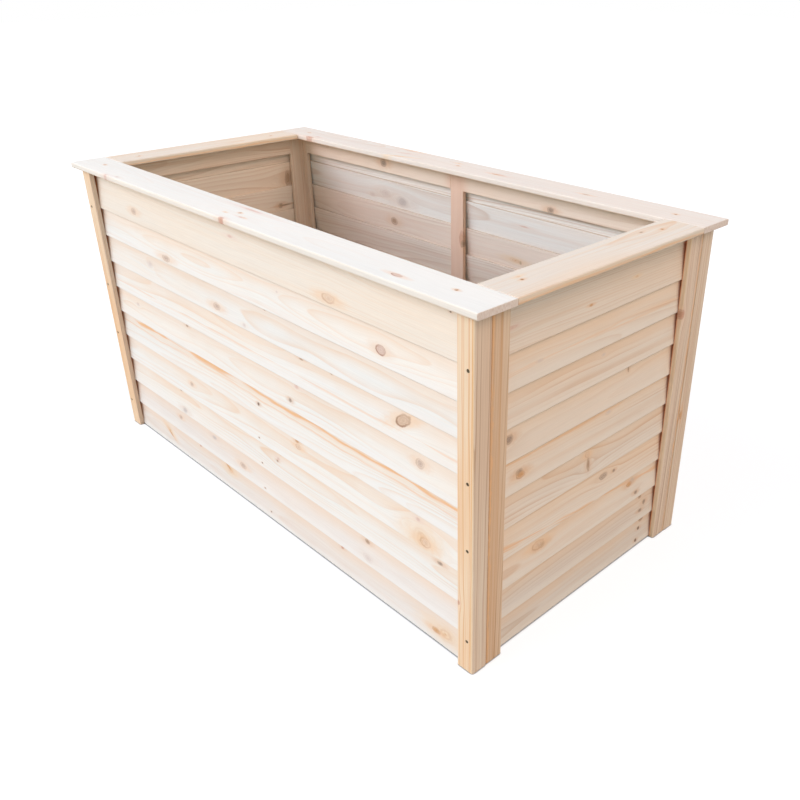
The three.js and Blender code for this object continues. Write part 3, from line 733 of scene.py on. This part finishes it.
# Resin veins that the photo shows on some boards.
WALL_VEINS = {
    "front_board_05": [Band("Z", 369, 9, RESIN, 0.95, ragged=9, waves=5, swell=True, lines=60),
                       Band("Z", 352, 4, RESIN, 0.5, ragged=14, waves=5, lines=500)],
    "front_board_07": [Band("Z", 480, 3, RESIN, 0.4, ragged=8, waves=4, swell=True)],
    "right_board_04": [Band("Z", 229, 9, RESIN, 0.7, ragged=5, swell=True, slope=-0.09, lines=260)],
    "right_board_03": [Band("Z", 229, 9, RESIN, 0.7, ragged=5, swell=True, slope=-0.09, lines=260)],
    "right_board_06": [Band("Z", 447, 7, RESIN, 0.55, ragged=10, waves=6, swell=True, lines=300)],
    "right_board_09": [Band("Z", 640, 8, RESIN, 0.35, ragged=10, waves=6, swell=True, lines=300)],
}


def visible_knots(side, course, exposure):
    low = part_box(f"{side}_board_{course:02d}")[0].z / MM
    top = low + exposure if course < COURSES else CAD_BOX[1][2] / MM
    return [knot for knot in WALL_KNOTS[side] if low <= knot[1] < top]


def wall_wood(side, course):
    if side == "front" and course == COURSES:
        return TOP_FRONT_PINE
    highest_low, low_wood = LOW_WOODS.get(side, (0, None))
    return low_wood if course <= highest_low else WALL_WOODS[side]


def wall_bands(side, course, along, bottom, shown_top, end):
    """A board gets painted warm shade below the lap or the rim, painted red shade beside the
    uprights, and painted light along its own lower edge."""
    if course == COURSES:
        bands = [Band("Z", shown_top, 26, UNDER_RIM_SHADE, 0.6, ragged=10)]
    else:
        bands = [Band("Z", shown_top, 46, WARM_SHADE_TINT, 0.34, ragged=16),
                 Band("Z", shown_top, 3.5, LAP_SHADOW_LINE, 0.6)]
    shaded = end - SHADED_END[side]
    bands += [Band(along, place, SHADED_REACH, GAP_SHADE, 1.0) for place in (shaded, -shaded)]
    if side in LIT_LOWER_EDGE and course < COURSES:
        bands.append(Band("Z", bottom, 24, LIT_LOWER_EDGE[side], 0.55, ragged=14))
    return bands + WALL_VEINS.get(f"{side}_board_{course:02d}", [])


def dress_wall(side):
    axes = "XZY" if side in ("front", "back") else "YZX"
    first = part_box(f"{side}_board_01")[0].z / MM
    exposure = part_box(f"{side}_board_02")[0].z / MM - first
    bold = GRAIN_BOLDNESS[side]
    for course in range(1, COURSES + 1):
        node = f"{side}_board_{course:02d}"
        low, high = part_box(node)
        middle = (low + high) / 2 / MM
        pith = (middle.z + chance.uniform(-60, 60),
                middle["XYZ".index(axes[2])] + chance.choice((-1, 1)) * chance.uniform(45, 150))
        bottom = low.z / MM
        shown_top = bottom + exposure if course < COURSES else RIM_UNDERSIDE
        end = high["XYZ".index(axes[0])] / MM
        slope = chance.uniform(-0.012, 0.012)
        dress(node, softwood(
            node, axes, chance.uniform(0, 90), pith, varied(wall_wood(side, course)),
            ring=chance.uniform(2.6, 4.6) * bold, taper=chance.uniform(-0.012, 0.012),
            strength=chance.uniform(0.4, 0.85) * bold, streaks=chance.uniform(0.35, 0.75),
            slope=slope, knots=visible_knots(side, course, exposure),
            bands=wall_bands(side, course, axes[0], bottom, shown_top, end),
            outward=OUTWARD[side], side_wood_and_light=SHADED_EDGE, side_axis="Z"))


def dress_long_rim(side, wood):
    """A rim board at the front or back, with sawn ends that show and painted shade along its lower
    edge. The front one's top is painted lighter, and its edges that look along Y darker and warmer,
    for the light on each.
    """
    name = f"rim_{side}"
    low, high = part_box(name)
    middle = (low + high) / 2 / MM
    pith = (middle.y + chance.uniform(-30, 30), middle.z - chance.uniform(50, 90))
    screw_y = math.copysign(LONG_RIM_SCREW_Y, middle.y)
    stains = [(x, screw_y, *SCREW_STAIN) for x in LONG_RIM_SCREWS]
    dress(name, softwood(
        name, "XYZ", chance.uniform(0, 90), pith, varied(wood, 0.008), ring=3.4, taper=0.002,
        strength=0.5, streaks=0.5, fineness=60.0, knots=PIECE_KNOTS[name] + stains,
        bands=[Band("Z", low.z / MM, 4, WARM_SHADE_TINT, 0.45)], end_grain=True,
        side_wood_and_light=SHADED_RIM_EDGE if side == "front" else None, side_axis="Y"))


def dress_short_rim(side):
    """A rim board between the long ones, with a resin vein in its edge."""
    name = f"rim_{side}"
    low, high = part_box(name)
    middle = (low + high) / 2 / MM
    pith = (middle.x + chance.uniform(-30, 30), middle.z - chance.uniform(50, 90))
    screw_x = math.copysign(SHORT_RIM_SCREW_X, middle.x)
    stains = [(y, screw_x, *SCREW_STAIN) for y in SHORT_RIM_SCREWS]
    vein = Band("Z", low.z / MM + 5, 5, RESIN, 0.6, ragged=6, lines=260)
    dress(name, softwood(
        name, "YXZ", chance.uniform(0, 90), pith, varied(RIM_CREAM, 0.008), ring=3.4,
        taper=0.006, strength=0.85, streaks=0.9, fineness=60.0,
        knots=PIECE_KNOTS.get(name, []) + stains, bands=[vein]))


def dress_moulding(name):
    """A corner moulding: a yellow face on the long wall, a browner return, and a painted highlight
    along its rounded corner.
    """
    low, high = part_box(name)
    middle = (low + high) / 2 / MM
    outward = math.copysign(1, middle.x)
    pith = (middle.x - outward * 50, middle.y + chance.uniform(45, 60))
    corner = outward * max(abs(low.x), abs(high.x)) / MM
    # Painted highlight along the rounded corner, then a thin orange line.
    bands = [Band("X", corner - outward * 3.0, 2.4, CORNER_HIGHLIGHT, 0.4, ragged=1),
             Band("X", corner - outward * 6.2, 1.3, CORNER_LINE, 0.9, ragged=3)]
    axes = "ZXY"
    if name in LAID_FOR_RETURN:
        axes = "ZYX"
        pith = pith[::-1]
    dress(name, softwood(
        name, axes, chance.uniform(0, 90), pith, varied(YELLOW_PINE), ring=3.3, taper=0.004,
        sway=0.004, strength=1.4, streaks=1.0, fineness=260.0, knots=PIECE_KNOTS.get(name, []),
        bands=bands, outward="-Y" if "front" in name else "+Y", side_wood_and_light=BROWN_PINE))


def dress_end_batten(name):
    """A batten beside a moulding's return, with torn orange grain along the seam, painted shade at
    the seam and beside its inner face, and painted light on its faces that look along Y.
    """
    low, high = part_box(name)
    middle = (low + high) / 2 / MM
    outward = math.copysign(1, middle.x)
    pith = (middle.y + chance.uniform(38, 60), middle.x - outward * 34)
    wood = PALE_BATTEN if "back" in name else DARK_PINE
    seam = math.copysign(SEAM_Y, middle.y)
    inner_face = outward * min(abs(low.x), abs(high.x)) / MM
    bands = [Band("Y", seam, 8, RESIN, 0.75, ragged=12, waves=34, lines=420),
             Band("Y", seam, 1.5, SEAM_SHADE, 0.5, ragged=2),
             Band("X", inner_face, 3, GAP_SHADE, 0.8)]
    dress(name, softwood(
        name, "ZYX", chance.uniform(0, 90), pith, varied(wood), ring=5.0, taper=0.020,
        sway=0.010, strength=1.8, streaks=1.0, fineness=230.0, knots=PIECE_KNOTS.get(name, []),
        bands=bands, side_wood_and_light=LIT_SIDE_PINE, side_axis="Y"))


def dress_inner_post(name):
    low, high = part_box(name)
    middle = (low + high) / 2 / MM
    pith = (middle.x + chance.uniform(40, 80), middle.y + chance.uniform(40, 80))
    dress(name, softwood(
        name, "ZXY", chance.uniform(0, 90), pith, varied(BATTEN_PINE), ring=2.6, taper=0.004,
        strength=1.0, streaks=0.8, fineness=120.0))


def dress_inner_frame(name):
    """The middle batten of a long wall, redder, and the paler rails beside it, with painted warm
    shade on their side faces.
    """
    low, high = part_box(name)
    pith = (INNER_PITH_HEIGHT, (low.y + high.y) / 2 / MM + INNER_PITH_DEPTH)
    bands = [Band("Z", high.z / MM - 25, 50, RAIL_PALE, 0.4),
             Band("X", 0, 60, MIDDLE_WARM, 0.75)]
    dress(name, softwood(
        name, "XZY", chance.uniform(0, 90), pith, varied(INNER_PINE), ring=2.8, taper=0.004,
        strength=1.0, streaks=0.8, fineness=110.0, knots=PIECE_KNOTS.get(name, []),
        crossing=MIDDLE_BATTEN_HALF, side_wood_and_light=SIDE_SHADE_PINE, bands=bands))


def dress_top_rail(name):
    low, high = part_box(name)
    pith = (INNER_PITH_HEIGHT, (low.x + high.x) / 2 / MM + INNER_PITH_DEPTH)
    dress(name, softwood(
        name, "YZX", chance.uniform(0, 90), pith, varied(INNER_PINE), ring=2.8, strength=1.0,
        streaks=0.8, fineness=110.0))


def dress_uprights():
    ways = {"corner_moulding_": dress_moulding, "end_batten_": dress_end_batten,
            "inner_post_": dress_inner_post}
    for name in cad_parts:
        for start, way in ways.items():
            if name.startswith(start):
                way(name)


# --- screws ---------------------------------------------------------------------------------

def cross_outline(reach, half):
    """The outline of a cross recess, with its corners in order round the middle."""
    corner = [(reach, -half), (reach, half), (half, half)]
    points = []
    for quarter in range(4):
        turn = Matrix.Rotation(quarter * math.pi / 2, 2)
        points += [turn @ Vector(point) for point in corner]
    return points


def add_screw(mesh, place, outward, radius):
    """A countersunk head with a cross recess, sunk into its hole in the wood."""
    outward = Vector(outward)
    turn = outward.to_track_quat("Z", "Y").to_matrix().to_4x4()
    spin = Matrix.Rotation(chance.uniform(0, math.pi / 2), 4, "Z")
    fit = Matrix.Translation(Vector(place) * MM) @ turn @ spin @ Matrix.Scale(MM, 4)

    def ring(size, level):
        angles = [2 * math.pi * step / HEAD_SIDES for step in range(HEAD_SIDES)]
        return [mesh.verts.new(fit @ Vector((size * math.cos(a), size * math.sin(a), level)))
                for a in angles]

    def level_cross(shares, level):
        reach, half = (radius * share for share in shares)
        return [mesh.verts.new(fit @ Vector((point.x, point.y, level)))
                for point in cross_outline(reach, half)]

    def wall(above, below):
        for i in range(len(above)):
            j = (i + 1) % len(above)
            mesh.faces.new((above[i], below[i], below[j], above[j]))

    top = ring(radius, -HEAD_SINK)
    cross = level_cross(CROSS_TOP, -HEAD_SINK)
    rims = [mesh.edges.new((loop[i], loop[(i + 1) % len(loop)]))
            for loop in (top, cross) for i in range(len(loop))]
    bmesh.ops.triangle_fill(mesh, edges=rims, use_beauty=True, normal=outward)
    floor = level_cross(CROSS_FLOOR, -HEAD_SINK - CROSS_DEPTH)
    wall(floor, cross)
    mesh.faces.new(floor)
    neck = ring(SHANK, -HEAD_SINK - HEAD_CONE)
    wall(top, neck)
    mesh.faces.new(neck[::-1])


def screws_on(node, places, outward, radius, metal):
    """All the screws in one length of wood, as one piece."""
    mesh = bmesh.new()
    for place in places:
        add_screw(mesh, place, outward, radius)
    bmesh.ops.recalc_face_normals(mesh, faces=mesh.faces)
    data = bpy.data.meshes.new(f"screws_{node}")
    mesh.to_mesh(data)
    mesh.free()
    data.materials.append(metal)
    piece = bpy.data.objects.new(f"screws_{node}", data)
    bpy.context.scene.collection.objects.link(piece)
    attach(piece, "root")


def screw_metal(name, dull, bright):
    """Plated steel, worn in fine spots."""
    material = bpy.data.materials.new(name)
    material.use_nodes = True
    n = Nodes(material.node_tree)
    spot = n.add("ShaderNodeTexCoord").outputs["Object"]
    worn = n.ranged(n.noise(spot, 900.0, 3.0), 0.35, 0.65)
    colour = n.blend(worn, opaque(dull), opaque(bright))
    surface = n.add("ShaderNodeBsdfPrincipled", Base_Color=colour, Metallic=0.7, Roughness=0.45)
    output = n.add("ShaderNodeOutputMaterial")
    n.link(surface.outputs[0], output.inputs[0])
    return material


def add_screws():
    dark = screw_metal("recess_shaded_screw", *RECESS_SHADED_METAL)
    warm = screw_metal("warm_screw", *WARM_METAL)
    for front, y in (("front", -MOULDING_FACE_Y), ("back", MOULDING_FACE_Y)):
        for side, x in (("left", -MOULDING_SCREW_X), ("right", MOULDING_SCREW_X)):
            places = [(x, y, z) for z in SCREW_HEIGHTS]
            screws_on(f"corner_moulding_{front}_{side}", places, (0, y, 0), MOULDING_HEAD, dark)
    top = CAD_BOX[1][2] / MM
    for side, y in (("front", -LONG_RIM_SCREW_Y), ("back", LONG_RIM_SCREW_Y)):
        places = [(x, y, top) for x in LONG_RIM_SCREWS]
        screws_on(f"rim_{side}", places, (0, 0, 1), RIM_HEAD, warm)
    for side, x in (("left", -SHORT_RIM_SCREW_X), ("right", SHORT_RIM_SCREW_X)):
        places = [(x, y, top) for y in SHORT_RIM_SCREWS]
        screws_on(f"rim_{side}", places, (0, 0, 1), RIM_HEAD, warm)


for wall_side in ("front", "back", "left", "right"):
    dress_wall(wall_side)
dress_long_rim("front", LIT_RIM_PINE)
dress_long_rim("back", BACK_RIM_PINE)
dress_short_rim("left")
dress_short_rim("right")
dress_uprights()
dress_inner_frame("front_inner_frame")
dress_inner_frame("back_inner_frame")
dress_top_rail("left_top_rail")
dress_top_rail("right_top_rail")
add_screws()
add_camera()
add_world()
add_lamps()
add_floor()
bpy.context.scene.view_settings.view_transform = "Standard"
